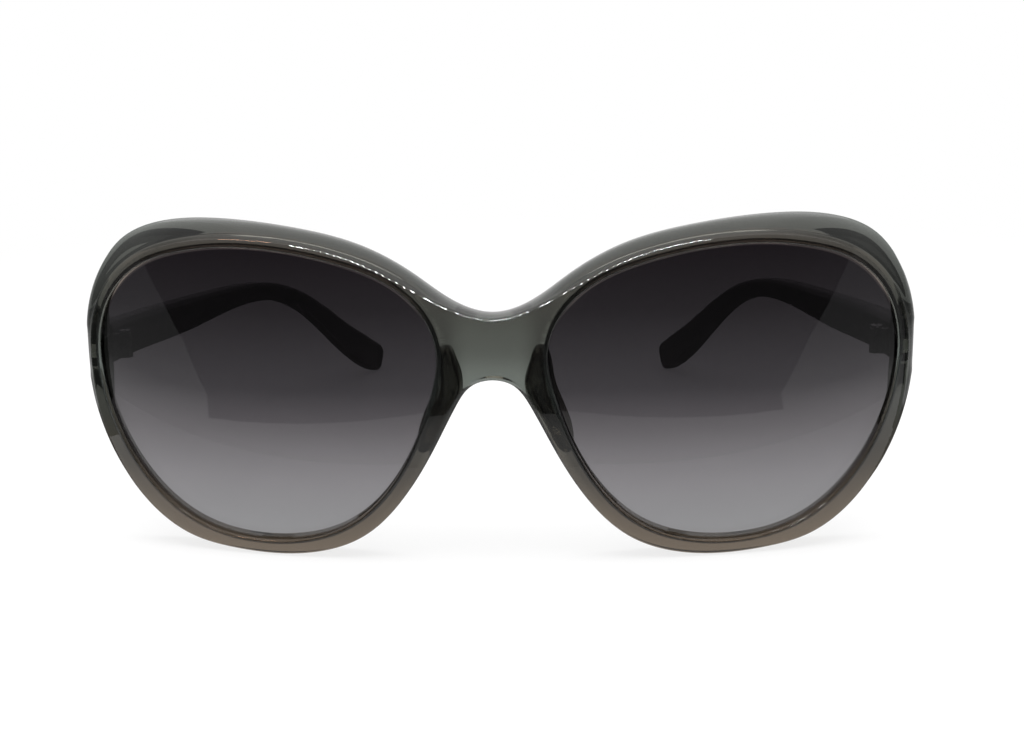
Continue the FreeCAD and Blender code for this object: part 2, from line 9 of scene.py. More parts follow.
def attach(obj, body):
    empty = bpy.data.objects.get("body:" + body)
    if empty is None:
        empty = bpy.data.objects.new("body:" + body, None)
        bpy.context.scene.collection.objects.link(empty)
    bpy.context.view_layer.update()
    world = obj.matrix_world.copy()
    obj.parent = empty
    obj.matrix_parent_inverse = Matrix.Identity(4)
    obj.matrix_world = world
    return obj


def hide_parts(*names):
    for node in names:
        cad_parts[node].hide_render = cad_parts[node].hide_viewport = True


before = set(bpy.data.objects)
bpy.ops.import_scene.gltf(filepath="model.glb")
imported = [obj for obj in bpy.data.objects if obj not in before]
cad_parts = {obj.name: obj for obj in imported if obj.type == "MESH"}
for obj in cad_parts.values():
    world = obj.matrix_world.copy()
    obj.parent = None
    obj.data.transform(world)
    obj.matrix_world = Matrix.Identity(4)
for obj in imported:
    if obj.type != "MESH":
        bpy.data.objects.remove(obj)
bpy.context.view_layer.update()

# Oversized sunglasses, open on a table. Lengths are in millimetres until a mesh is made, in the part's
# own frame: X across the face with the wearer's left at +X, Y from the front back to the tips, Z up.
MM = 0.001
SIDES = (("left", 1), ("right", -1))

# Front
HALF_WIDTH, FRONT_HEIGHT, FRONT_Y = 73.4, 59.3, -67.0
BRIDGE_TOP, BRIDGE_DROP, NOSE_ARCH = 43.6, 15.7, 32.8
CURVE_RADIUS, VERTEX_ACROSS, VERTEX_HEIGHT, BRIDGE_BLEND = 110.0, 22.1, 30.0, 8.0
RIM_DEPTH, WALL_FLARE = 5.5, 2.0
# Lens openings and lenses
LENS_WIDTH, LENS_HEIGHT = 60.0, 52.1
LENS_X, LENS_Z = 39.35, 29.0
LENS_RECESS, LENS_THICKNESS, LENS_BITE, GROOVE_ROOM = 1.0, 2.0, 0.7, 0.05
# Butt joint between the front and an arm, and the endpiece that swells to it and stands a little proud
# of the outline; the two eases soften its corners
JOINT_Y, JOINT_GAP = -47.074, 0.12
BUTT_HALF, ENDPIECE_RUN, ENDPIECE_SWELL, ENDPIECE_PROUD = 4.0, 6.0, 7.0, 0.2
BUTT_EASE, SWELL_EASE = 0.6, 0.06
# Arms; the sweep stands square at the butt and takes up the arm's own line by the end of the lead
ARM_LEVEL, ARM_HEIGHT, ARM_THICKNESS, ARM_OUTER = 35.4, 7.4, 4.2, 73.2
ARM_REACH, ARM_BOW, BOW_POWER = 114.074, 35.6, 1.56
ARM_TIP, ARM_BUTT_ROUND, ARM_LEAD, ARM_SQUARENESS = 4.5, 0.3, 14.0, 6.0
BUTT_SEARCH = 9.0  # the butt lies within this much of the arm's line
# Nose pads
PAD_TOP, PAD_FOOT, PAD_INSET = 38.0, 19.5, 3.05
PAD_REACH, PAD_THICKNESS, PAD_SEAT, PAD_SPLAY = 8.6, 4.6, 1.6, 0.10
PAD_CAP, PAD_SQUARENESS = 1.2, 3.2
# Rounding of edges, measured back from the edge along each face, and the heights between which the
# rounding at the foot grows to the ridge's
RIDGE_ROUND, FOOT_ROUND, BACK_ROUND, OPENING_ROUND = 0.75, 0.4, 0.4, 0.45
ROUND_GROWS = (6.0, 36.0)
# Crown of the front's outer wall, the heights between which it grows, and its least share at a low flare
BROW_CROWN, SIDE_CROWN, LEAST_CROWN = 0.7, 0.45, 0.3
CROWN_STARTS, BROW_STARTS = (2.4, 14.4), (36.0, 48.0)
# Steps of the meshes: along half the outline, down the middle, across each strip, and round each sweep
OUTLINE_POINTS, MIDDLE_STEPS, OPENING_POINTS, LENS_POINTS, LENS_RINGS = 321, 25, 6000, 241, 24
EDGE_STEPS, WALL_STEPS, LIP_STEPS, BORE_STEPS, FACE_STEPS = 8, 8, 6, 5, 9
ARM_POINTS, TIP_POINTS, ARM_AROUND, SEARCH_POINTS = 150, 15, 64, 200
PAD_POINTS, CAP_POINTS, PAD_AROUND = 60, 7, 48
SEAM_DISTANCE = 2e-6  # metres

# Back outline of the front from the bridge over the brow, down the side, under the lens and up to the
# nose arch: share across, share up, share of the wall's flare
BROW_SHARES = (
    (0.000, 0.000, 0.05), (0.082, 0.110, 0.20), (0.174, 0.408, 0.75), (0.301, 0.732, 0.95),
    (0.463, 0.920, 0.95), (0.647, 1.000, 1.30),
)
SIDE_SHARES = (
    (0.794, 0.984, 1.80), (0.896, 0.929, 2.00), (0.966, 0.816, 1.60), (0.997, 0.683, 1.20),
    (1.000, 0.556, 1.10), (0.985, 0.422, 0.95), (0.943, 0.273, 0.80), (0.861, 0.128, 0.55),
    (0.747, 0.034, 0.30), (0.644, 0.008, 0.20), (0.538, 0.000, 0.15), (0.422, 0.014, 0.15),
)
NOSE_SHARES = (
    (0.324, 0.110, 0.15), (0.218, 0.341, 0.10), (0.140, 0.625, 0.10), (0.085, 0.863, 0.10),
    (0.046, 0.973, 0.10), (0.000, 1.000, 0.10),
)
# Lens opening, as shares of its half width and half height; the nose side's points run downwards
OPENING_SHARES = (
    (0.979, 0.038), (0.994, 0.345), (0.912, 0.643), (0.716, 0.861), (0.465, 0.962), (0.225, 1.000),
    (0.002, 0.998), (-0.436, 0.912), (-0.888, 0.630), (-0.999, 0.347), (-0.959, 0.038),
    (-0.771, -0.476), (-0.451, -0.865), (0.002, -1.000), (0.465, -0.887), (0.805, -0.496),
)
NOSE_SIDE = slice(8, 13)
# Arm from the butt joint to the tip: share of reach, of level, of height, of thickness
ARM_SHARES = (
    (-0.020, 1.004, 1.00, 1.00), (0.114, 0.966, 0.95, 0.95), (0.316, 0.918, 0.87, 0.88),
    (0.453, 0.904, 0.66, 0.84), (0.588, 0.855, 0.54, 0.82), (0.693, 0.731, 0.53, 0.82),
    (0.772, 0.565, 0.62, 0.84), (0.850, 0.365, 0.80, 0.86), (0.915, 0.208, 0.95, 0.86),
    (0.965, 0.104, 0.93, 0.80), (0.992, 0.060, 0.87, 0.72),
)
# Nose pad from its foot to its top: share of rise, of reach, of thickness, of inset
PAD_SHARES = (
    (0.00, 0.30, 0.41, 0.85), (0.12, 0.62, 0.67, 0.82), (0.35, 0.95, 0.80, 0.88),
    (0.62, 1.00, 1.00, 1.00), (0.84, 0.72, 0.72, 0.72), (1.00, 0.34, 0.37, 0.54),
)

# Colours by height, the plastics' own dyes and tints, with painted shade and painted reflection where noted:
# share of the way up, and the colour there
# Front face: brown at the foot is the plastic's own dye; the pale teal band at mid height, level with the
# bridge's foot, is painted reflection
FACE_DYE_AND_REFLECTION = (
    (0.00, (0.320, 0.258, 0.190)), (0.12, (0.252, 0.208, 0.160)), (0.30, (0.118, 0.110, 0.095)),
    (0.54, (0.280, 0.330, 0.315)), (0.60, (0.195, 0.222, 0.210)), (0.76, (0.122, 0.128, 0.114)),
    (1.00, (0.165, 0.140, 0.122)),
)
# Outer wall: brown at the foot is the plastic's own dye; near black through the middle heights is painted
# shade where the black arm lies behind the sides, and the paler top is painted light
WALL_DYE_AND_SHADE = (
    (0.00, (0.265, 0.215, 0.162)), (0.12, (0.150, 0.125, 0.094)), (0.25, (0.054, 0.048, 0.038)),
    (0.40, (0.028, 0.029, 0.026)), (0.60, (0.022, 0.024, 0.022)), (0.80, (0.092, 0.101, 0.096)),
    (1.00, (0.128, 0.137, 0.128)),
)
BRIM_DYE = (
    (0.00, (0.265, 0.215, 0.162)), (0.12, (0.210, 0.178, 0.138)), (0.25, (0.130, 0.117, 0.096)),
    (0.55, (0.110, 0.114, 0.104)), (0.80, (0.096, 0.105, 0.100)), (1.00, (0.128, 0.137, 0.128)),
)
# Bridge: the paler teal at its foot is painted reflection
BRIDGE_DYE_AND_REFLECTION = (
    (0.00, (0.270, 0.315, 0.300)), (0.35, (0.165, 0.188, 0.176)), (1.00, (0.120, 0.133, 0.120)),
)
BRIDGE_HEIGHTS, BRIDGE_REACH = (33.0, 45.0), (4.0, 9.0)
LENS_TINT = (
    (0.00, (0.27, 0.27, 0.275)), (0.06, (0.25, 0.248, 0.256)), (0.22, (0.19, 0.182, 0.192)),
    (0.40, (0.098, 0.091, 0.098)), (0.54, (0.045, 0.042, 0.046)), (0.80, (0.0170, 0.0150, 0.0170)),
    (1.00, (0.0080, 0.0062, 0.0078)),
)
# Painted shade: the lens edge in the groove, near black through the middle heights, paler at the foot and the
# top
LENS_EDGE_SHADE = (
    (0.00, (0.16, 0.145, 0.13)), (0.18, (0.06, 0.055, 0.05)), (0.32, (0.003, 0.003, 0.003)),
    (0.70, (0.003, 0.003, 0.003)), (0.85, (0.20, 0.17, 0.15)),
)
LENS_HEIGHTS = (3.0, 55.0)
# Ring of a lens where its ground edge starts, below and above two heights, and how soft that start is
GROUND_EDGE, GROUND_HEIGHTS, GROUND_SOFT = (0.980, 0.962), (40.0, 46.0), 0.006
# Pads: brown at the foot is the plastic's own dye; darker through the middle is painted shade for how dark
# they look behind the rim
PAD_DYE_AND_SHADE = (
    (0.00, (0.34, 0.30, 0.25)), (0.35, (0.11, 0.10, 0.082)), (0.75, (0.085, 0.08, 0.067)),
    (1.00, (0.24, 0.23, 0.20)),
)
ARM_DYE, ARM_HEIGHTS = ((0.00, (0.046, 0.041, 0.042)), (1.00, (0.034, 0.031, 0.035))), (0.0, 41.0)
HINGE_HEIGHTS, HINGE_SHADE = (28.0, 40.0), 0.85


# Curves and surfaces of the front
class SmoothLine:
    """A smooth curve through rows of numbers, run along by the chord length of its first columns."""

    def __init__(self, rows, columns, closed=False):
        rows = np.array(list(rows) + list(rows[:1] if closed else []), float)
        step = np.linalg.norm(np.diff(rows[:, :columns], axis=0), axis=1)
        slope = np.diff(rows, axis=0) / step[:, None]
        pull, aim = np.eye(len(rows)), np.zeros_like(rows)
        for i in range(1, len(rows) - 1):
            pull[i, i - 1:i + 2] = step[i - 1], 2 * (step[i - 1] + step[i]), step[i]
            aim[i] = 6 * (slope[i] - slope[i - 1])
        if closed:
            pull[0, -1] = -1
            pull[-1, [0, 1, -2, -1]] = 2 * (step[0] + step[-1]), step[0], step[-1], 0
            aim[-1] = 6 * (slope[0] - slope[-1])
        self.rows, self.bend = rows, np.linalg.solve(pull, aim)
        self.run = np.concatenate(([0.0], np.cumsum(step)))
        self.closed = closed

    def at(self, run):
        run = np.asarray(run, float) % self.run[-1] if self.closed else np.asarray(run, float)
        i = np.clip(np.searchsorted(self.run, run, side="right") - 1, 0, len(self.run) - 2)
        span = (self.run[i + 1] - self.run[i])[..., None]
        b = (run - self.run[i])[..., None] / span
        a = 1 - b
        bow = (a ** 3 - a) * self.bend[i] + (b ** 3 - b) * self.bend[i + 1]
        return a * self.rows[i] + b * self.rows[i + 1] + bow * span ** 2 / 6

    def heading(self, run, nudge=1e-3):
        return unit(self.at(run + nudge) - self.at(run - nudge))


def unit(rows):
    return rows / np.linalg.norm(rows, axis=-1, keepdims=True)


def square(heading):
    """Flat directions a quarter turn from flat headings."""
    return np.stack([-heading[:, 1], heading[:, 0]], axis=-1)


def ramp(value, low, high):
    """How far a value has come from low to high, from 0 to 1."""
    return np.clip((value - low) / (high - low), 0, 1)


def above(value, ease):
    """The value where it is positive, and nearly nothing elsewhere, with an eased corner."""
    return (value + np.sqrt(value ** 2 + ease)) / 2


def front_y(x, z):
    """Y of the front face: a ball over each lens, blended across the bridge."""
    across = np.hypot(x, BRIDGE_BLEND) - VERTEX_ACROSS
    return FRONT_Y + CURVE_RADIUS - np.sqrt(CURVE_RADIUS ** 2 - across ** 2 - (z - VERTEX_HEIGHT) ** 2)


def rim_y(x, z):
    """Y of the back face where nothing swells."""
    return front_y(x, z) + RIM_DEPTH


def back_y(x, z):
    """Y of the back face, which swells to the butt joint at the outer side."""
    plain = rim_y(x, z)
    away = above(np.abs(z - ARM_LEVEL) - BUTT_HALF, BUTT_EASE)
    butt = JOINT_Y - JOINT_GAP / 2 - away * ENDPIECE_RUN / ENDPIECE_SWELL
    return np.where(x > LENS_X, plain + above(butt - plain, SWELL_EASE), plain)


def lens_y(x, z, depth):
    """Y of the ball that a lens surface follows, at a depth behind the front's own."""
    radius = CURVE_RADIUS - depth
    return FRONT_Y + CURVE_RADIUS - np.sqrt(
        radius ** 2 - (x - VERTEX_ACROSS) ** 2 - (z - VERTEX_HEIGHT) ** 2)


def on(surface, flat):
    """Points of a face over flat X and Z."""
    return np.stack([flat[..., 0], surface(flat[..., 0], flat[..., 1]), flat[..., 1]], axis=-1)


def along(surface, flat, way, nudge=0.01):
    """Unit directions on a face at flat points, in flat ways."""
    return unit(on(surface, flat + way * nudge) - on(surface, flat - way * nudge))


def opening_points(shares):
    return [(LENS_X + a * LENS_WIDTH / 2, LENS_Z + u * LENS_HEIGHT / 2) for a, u in shares]


def opening_line():
    return SmoothLine(opening_points(OPENING_SHARES), 2, closed=True)


def outer_line():
    """The whole back outline, with the wall's flare as a third column, and the run of its half."""
    half = [(a * HALF_WIDTH, BRIDGE_TOP + u * BRIDGE_DROP, f * WALL_FLARE) for a, u, f in BROW_SHARES]
    half += [(a * HALF_WIDTH, u * FRONT_HEIGHT, f * WALL_FLARE) for a, u, f in SIDE_SHARES]
    half += [(a * HALF_WIDTH, u * NOSE_ARCH, f * WALL_FLARE) for a, u, f in NOSE_SHARES]
    line = SmoothLine(half + [(-x, z, f) for x, z, f in reversed(half[1:-1])], 2, closed=True)
    return line, line.run[len(half) - 1]


def rounded(corner, first, second, back_off, steps):
    """Columns of points round a corner between two directions, from one face to the other."""
    start, end = corner + first * back_off, corner + second * back_off
    turn = np.arccos(np.clip(-(first * second).sum(-1), -1, 1))
    weight = np.cos(turn / 2)[:, None]
    columns = []
    for t in np.linspace(0, 1, steps + 1):
        pull = 2 * weight * t * (1 - t)
        columns.append(((1 - t) ** 2 * start + pull * corner + t ** 2 * end)
                       / ((1 - t) ** 2 + pull + t ** 2))
    return columns


def between(start, end, steps):
    return [start + (end - start) * t for t in np.linspace(0, 1, steps + 1)]


# Front mesh
def wall_strip():
    """The outer wall of one half from its ridge to the back edge, both rounded, crowned most at the brows."""
    outer, half_run = outer_line()
    run = np.linspace(0, half_run, OUTLINE_POINTS)
    outline = outer.at(run)
    back_edge, flare = outline[:, :2], outline[:, 2:]
    outward = unit(square(outer.heading(run)[:, :2]))
    outward[[0, -1], 0] = 0
    ridge = back_edge - outward * flare
    ridge[[0, -1], 0] = 0
    height = ridge[:, 1:]

    # The wall runs from the ridge to the back outline, and on to the butt where the back swells
    foot, head = on(front_y, ridge), on(rim_y, back_edge)
    slope = (head - foot) / (head - foot)[:, 1:2]
    reach = back_y(back_edge[:, 0], back_edge[:, 1]) - foot[:, 1]
    head = foot + slope * reach[:, None]
    head[:, 0] = np.minimum(head[:, 0], np.minimum(back_edge[:, 0] + ENDPIECE_PROUD, HALF_WIDTH))
    wall = unit(head - foot)
    front_in = along(front_y, ridge, -outward)
    back_in = along(back_y, head[:, [0, 2]], -outward)
    ease = FOOT_ROUND + (RIDGE_ROUND - FOOT_ROUND) * ramp(height, *ROUND_GROWS)
    ridge_arc = rounded(foot, front_in, wall, ease, EDGE_STEPS)
    back_arc = rounded(head, -wall, back_in, BACK_ROUND, EDGE_STEPS)

    high = ramp(height, *BROW_STARTS)
    crown = SIDE_CROWN + (BROW_CROWN - SIDE_CROWN) * high ** 2 * (3 - 2 * high)
    crown = crown * np.clip(flare / WALL_FLARE, LEAST_CROWN, 1) * ramp(height, *CROWN_STARTS)
    bulge = crown * unit(np.cross(wall, np.cross(front_in, wall)))
    straight = between(ridge_arc[-1], back_arc[0], WALL_STEPS)
    shares = np.linspace(0, 1, WALL_STEPS + 1)
    sides = [column - bulge * 4 * t * (1 - t) for column, t in zip(straight, shares)]
    return np.stack(ridge_arc + sides[1:-1] + back_arc, axis=1)


def facing_run(opening, ring, smooth=6):
    """Runs of the lens opening that face the points of a ring around it, evened out."""
    full = opening.run[-1]
    fine = np.linspace(0, full, OPENING_POINTS + 1)[:-1]
    near = np.linalg.norm(ring[:, None] - opening.at(fine)[None], axis=-1).argmin(axis=1)
    place = np.minimum.accumulate(np.unwrap(fine[near], period=full))
    width = 2 * smooth + 1
    looped = np.concatenate([place[-smooth:] + full, place, place[:smooth] - full])
    return np.convolve(looped, np.ones(width) / width, "valid")


def lens_lining(edge, away):
    """The opening's rounded lips and the groove for the lens, from the front face to the back face."""
    inner = np.tile((0.0, 1.0, 0.0), (len(edge), 1))
    front_arc = rounded(on(front_y, edge), along(front_y, edge, away), inner, OPENING_ROUND, LIP_STEPS)
    rear_arc = rounded(on(back_y, edge), -inner, along(back_y, edge, away), OPENING_ROUND, LIP_STEPS)
    sunk = edge + away * (LENS_BITE + GROOVE_ROOM)
    near, far = LENS_RECESS - GROOVE_ROOM, LENS_RECESS + LENS_THICKNESS + GROOVE_ROOM
    groove = [on(lambda x, z: lens_y(x, z, depth), flat)
              for depth, flat in ((near, edge), (near, sunk), (far, sunk), (far, edge))]
    bore = between(groove[-1], rear_arc[0], BORE_STEPS)[1:-1]
    return np.stack(front_arc + groove + bore + rear_arc, axis=1)


def quilt(patches):
    """One mesh from grids of points; a patch marked closed joins its last row to its first."""
    points, quads, walls, count = [], [], [], 0
    for grid, closed, mirror, wall in patches:
        rows, columns = grid.shape[:2]
        index = count + np.arange(rows * columns).reshape(rows, columns)
        if closed:
            index = np.vstack([index, index[:1]])
        corners = [index[:-1, :-1], index[1:, :-1], index[1:, 1:], index[:-1, 1:]]
        quads.append(np.stack(corners[::-1] if mirror else corners, axis=-1).reshape(-1, 4))
        points.append((grid * ((-1, 1, 1) if mirror else (1, 1, 1))).reshape(-1, 3))
        walls.append(np.tile(wall, rows))
        count += rows * columns
    mesh = bpy.data.meshes.new("quilt")
    mesh.from_pydata((np.concatenate(points) * MM).tolist(), [], np.concatenate(quads).tolist())
    mesh.attributes.new("wall_share", "FLOAT", "POINT").data.foreach_set(
        "value", np.concatenate(walls).astype(np.float32))
    return mesh


def front_mesh():
    """Rims and bridge: faces between outline and lens opening, rounded edges, grooves for the lenses."""
    strip = wall_strip()
    rise = np.linspace(0, 1, MIDDLE_STEPS + 1)[1:-1, None]

    def ring(column):
        """The outline of one face of a half, closed along the middle plane."""
        flat = strip[:, column][:, [0, 2]]
        return np.vstack([flat, flat[-1] * (1 - rise) + flat[0] * rise])

    def face(surface, start, end):
        return on(surface, np.stack(between(start[:, [0, 2]], end, FACE_STEPS), axis=1))

    opening = opening_line()
    edge_run = facing_run(opening, ring(0))
    lining = lens_lining(opening.at(edge_run), -square(opening.heading(edge_run)))
    front_face = face(front_y, lining[:, 0], ring(0))
    back_face = face(back_y, lining[:, -1], ring(-1))

    # Neighbouring patches share the points of their seams
    lining[:, 0], lining[:, -1] = front_face[:, 0], back_face[:, 0]
    strip[:, 0], strip[:, -1] = front_face[:len(strip), -1], back_face[:len(strip), -1]

    # wall_share is 0 on the front face and in the openings, 1 on the wall and the back, 2 at the back edge
    column = np.arange(strip.shape[1])
    wall_share = ramp(column, EDGE_STEPS / 2, EDGE_STEPS)
    wall_share = wall_share + ramp(column, EDGE_STEPS + 3, EDGE_STEPS + WALL_STEPS + 1)
    back_share = 1 + ramp(np.arange(FACE_STEPS + 1), FACE_STEPS - 4, FACE_STEPS)
    half = [(front_face, True, np.zeros(FACE_STEPS + 1)), (back_face, True, back_share),
            (lining, True, np.zeros(lining.shape[1])), (strip, False, wall_share)]
    return quilt([(grid, closed, mirror, wall) for grid, closed, wall in half for mirror in (False, True)])


# Geometry node trees
def node(tree, kind, inputs=None, **settings):
    """Add a node with its settings, and link or set its inputs by name or place."""
    made = tree.nodes.new(kind)
    for name, value in settings.items():
        setattr(made, name, value)
    for key, value in (inputs or {}).items():
        if isinstance(value, bpy.types.NodeSocket):
            tree.links.new(value, made.inputs[key])
        else:
            made.inputs[key].default_value = value
    return made


def calc(tree, operation, *values):
    return node(tree, "ShaderNodeMath", dict(enumerate(values)), operation=operation).outputs[0]


def whole(tree, operation, *values):
    return node(tree, "FunctionNodeIntegerMath", dict(enumerate(values)), operation=operation).outputs[0]


def vector(tree, operation, *values):
    places = [0, "Scale"] if operation == "SCALE" else [0, 1]
    return node(tree, "ShaderNodeVectorMath", dict(zip(places, values)), operation=operation).outputs[0]


def new_tree(name, inputs):
    """A geometry tree with a path going in, named sizes, and a mesh coming out."""
    tree = bpy.data.node_groups.new(name, "GeometryNodeTree")
    tree.interface.new_socket("Path", in_out="INPUT", socket_type="NodeSocketGeometry")
    for label, kind in inputs:
        tree.interface.new_socket(label, in_out="INPUT", socket_type="NodeSocket" + kind)
    tree.interface.new_socket("Piece", in_out="OUTPUT", socket_type="NodeSocketGeometry")
    return tree, node(tree, "NodeGroupInput").outputs


def grid_of_path(tree, given, columns):
    """A grid with a row for each point of the path, and each grid point's row and column."""
    count = node(tree, "GeometryNodeAttributeDomainSize", {"Geometry": given["Path"]}, component="MESH")
    grid = node(tree, "GeometryNodeMeshGrid",
                {"Vertices X": count.outputs["Point Count"], "Vertices Y": columns})
    index = node(tree, "GeometryNodeInputIndex").outputs[0]
    row, column = (whole(tree, operation, index, columns) for operation in ("DIVIDE_FLOOR", "MODULO"))
    return grid.outputs["Mesh"], row, column


def from_path(tree, given, value, index):
    return node(tree, "GeometryNodeSampleIndex", {"Geometry": given["Path"], "Value": value, "Index": index},
                data_type="FLOAT_VECTOR").outputs[0]


def close_tree(tree, given, mesh, position):
    """Move the grid to its place, close it, and give it its finish."""
    placed = node(tree, "GeometryNodeSetPosition", {"Geometry": mesh, "Position": position})
    merged = node(tree, "GeometryNodeMergeByDistance",
                  {"Geometry": placed.outputs[0], "Distance": SEAM_DISTANCE})
    real = node(tree, "GeometryNodeRealizeInstances", {"Geometry": merged.outputs[0]})
    painted = node(tree, "GeometryNodeSetMaterial",
                   {"Geometry": real.outputs[0], "Material": given["Finish"]})
    node(tree, "NodeGroupOutput", {"Piece": painted.outputs[0]})


def swept_tree():
    """A rounded oblong carried along a path whose points hold its half sizes as directions."""
    tree, given = new_tree("swept_piece", (
        ("Around", "Int"), ("Squareness", "Float"), ("Finish", "Material")))
    columns = whole(tree, "ADD", given["Around"], 1)
    mesh, row, column = grid_of_path(tree, given, columns)
    step = whole(tree, "MODULO", column, given["Around"])  # so that the last column meets the first
    turn = calc(tree, "MULTIPLY", calc(tree, "DIVIDE", step, given["Around"]), 2 * math.pi)
    power = calc(tree, "DIVIDE", 2.0, given["Squareness"])
    place = from_path(tree, given, node(tree, "GeometryNodeInputPosition").outputs[0], row)
    for label, wave in (("half_side", "COSINE"), ("half_rise", "SINE")):
        swing = calc(tree, wave, turn)
        share = calc(tree, "MULTIPLY", calc(tree, "SIGN", swing),
                     calc(tree, "POWER", calc(tree, "ABSOLUTE", swing), power))
        held = node(tree, "GeometryNodeInputNamedAttribute", {"Name": label}, data_type="FLOAT_VECTOR")
        reach = from_path(tree, given, held.outputs["Attribute"], row)
        place = vector(tree, "ADD", place, vector(tree, "SCALE", reach, share))
    close_tree(tree, given, mesh, place)
    return tree


def lens_tree():
    """A shell between two balls, cut to an outline: rings run out over the front and back over the rear."""
    tree, given = new_tree("lens_shell", (
        ("Rings", "Int"), ("Centre", "Vector"), ("Ball", "Vector"), ("Radius", "Float"),
        ("Thickness", "Float"), ("Finish", "Material")))
    columns = whole(tree, "MULTIPLY", whole(tree, "ADD", given["Rings"], 1), 2)
    mesh, row, column = grid_of_path(tree, given, columns)
    rear = calc(tree, "GREATER_THAN", column, calc(tree, "ADD", given["Rings"], 0.5))
    last = whole(tree, "SUBTRACT", columns, 1)
    step = calc(tree, "MINIMUM", column, calc(tree, "SUBTRACT", last, column))
    share = calc(tree, "DIVIDE", step, given["Rings"])
    rim = from_path(tree, given, node(tree, "GeometryNodeInputPosition").outputs[0], row)
    out = vector(tree, "SCALE", vector(tree, "SUBTRACT", rim, given["Centre"]), share)
    flat = vector(tree, "MULTIPLY", vector(tree, "ADD", given["Centre"], out), (1.0, 0.0, 1.0))
    away = vector(tree, "SUBTRACT", flat, vector(tree, "MULTIPLY", given["Ball"], (1.0, 0.0, 1.0)))
    radius = calc(tree, "SUBTRACT", given["Radius"], calc(tree, "MULTIPLY", given["Thickness"], rear))
    span = node(tree, "ShaderNodeVectorMath", {0: away, 1: away}, operation="DOT_PRODUCT").outputs["Value"]
    sag = calc(tree, "SQRT", calc(tree, "SUBTRACT", calc(tree, "MULTIPLY", radius, radius), span))
    ball = node(tree, "ShaderNodeSeparateXYZ", {0: given["Ball"]})
    lift = node(tree, "ShaderNodeCombineXYZ", {"Y": calc(tree, "SUBTRACT", ball.outputs["Y"], sag)})
    marked = node(tree, "GeometryNodeStoreNamedAttribute",
                  {"Geometry": mesh, "Name": "ring_share", "Value": share}, data_type="FLOAT", domain="POINT")
    close_tree(tree, given, marked.outputs[0], vector(tree, "ADD", flat, lift.outputs[0]))
    return tree


def grown(tree, points, values, directions=None):
    """Run a tree on a path and hand back the plain mesh."""
    path = bpy.data.meshes.new("path")
    path.from_pydata((np.asarray(points) * MM).tolist(), [], [])
    for label, rows in (directions or {}).items():
        held = path.attributes.new(label, "FLOAT_VECTOR", "POINT")
        held.data.foreach_set("vector", (np.asarray(rows) * MM).astype(np.float32).ravel())
    guide = bpy.data.objects.new("guide", path)
    bpy.context.scene.collection.objects.link(guide)
    modifier = guide.modifiers.new("shape", "NODES")
    modifier.node_group = tree
    for socket in tree.interface.items_tree:
        if socket.in_out == "INPUT" and socket.name in values:
            modifier[socket.identifier] = values[socket.name]
    ready = guide.evaluated_get(bpy.context.evaluated_depsgraph_get())
    mesh = bpy.data.meshes.new_from_object(ready)
    guide.modifiers.remove(modifier)
    bpy.data.objects.remove(guide)
    return mesh


# Arms, pads and lenses
def arm_rows():
    rows = []
    for share, level, height, thickness in ARM_SHARES:
        x = ARM_OUTER - ARM_THICKNESS / 2 - ARM_BOW * max(share, 0) ** BOW_POWER
        rows.append((x, JOINT_Y + share * ARM_REACH, level * ARM_LEVEL,
                     height * ARM_HEIGHT, thickness * ARM_THICKNESS))
    return rows


def arm_mesh(tree, sign, material):
    """An arm swept from its butt, squared off with a small round, to its rounded tip."""
    line = SmoothLine(arm_rows(), 3)
    first_run = np.linspace(0, BUTT_SEARCH, SEARCH_POINTS)
    start = np.interp(JOINT_Y + JOINT_GAP / 2, line.at(first_run)[:, 1], first_run)
    end, tip, butt = line.run[-1], ARM_TIP, ARM_BUTT_ROUND
    turn = np.linspace(0, math.pi / 2, TIP_POINTS)
    run = np.concatenate((
        [start], start + butt * (1 - np.cos(turn)), np.linspace(start + butt, end - tip, ARM_POINTS)[1:],
        end - tip * (1 - np.sin(turn[1:]))))
    stations = line.at(run)
    inset = butt - butt * np.sin(np.arccos(np.clip(1 - (run - start) / butt, 0, 1)))[:, None]
    shrink = np.sqrt(1 - ramp(run, end - tip, end) ** 2)[:, None]
    settle = ramp(run, start, start + ARM_LEAD)[:, None]
    ahead = unit(unit(line.heading(run)[:, :3]) * settle + np.array((0.0, 1.0, 0.0)) * (1 - settle))
    side = unit(np.cross(ahead, (0.0, 0.0, 1.0)))
    rise = np.cross(side, ahead)
    half_side = side * (stations[:, 4:5] / 2 - inset) * shrink
    half_rise = rise * (stations[:, 3:4] / 2 - inset) * shrink
    half_side[0] = half_rise[0] = 0
    turned = np.array((sign, 1, 1))
    return grown(tree, stations[:, :3] * turned,
                 {"Around": ARM_AROUND, "Squareness": ARM_SQUARENESS, "Finish": material},
                 {"half_side": half_side * turned, "half_rise": half_rise * turned})


def nose_edge(z):
    """X of the lens opening's edge on its nose side at a height."""
    across, up = zip(*reversed(opening_points(OPENING_SHARES[NOSE_SIDE])))
    return np.interp(z, up, across)


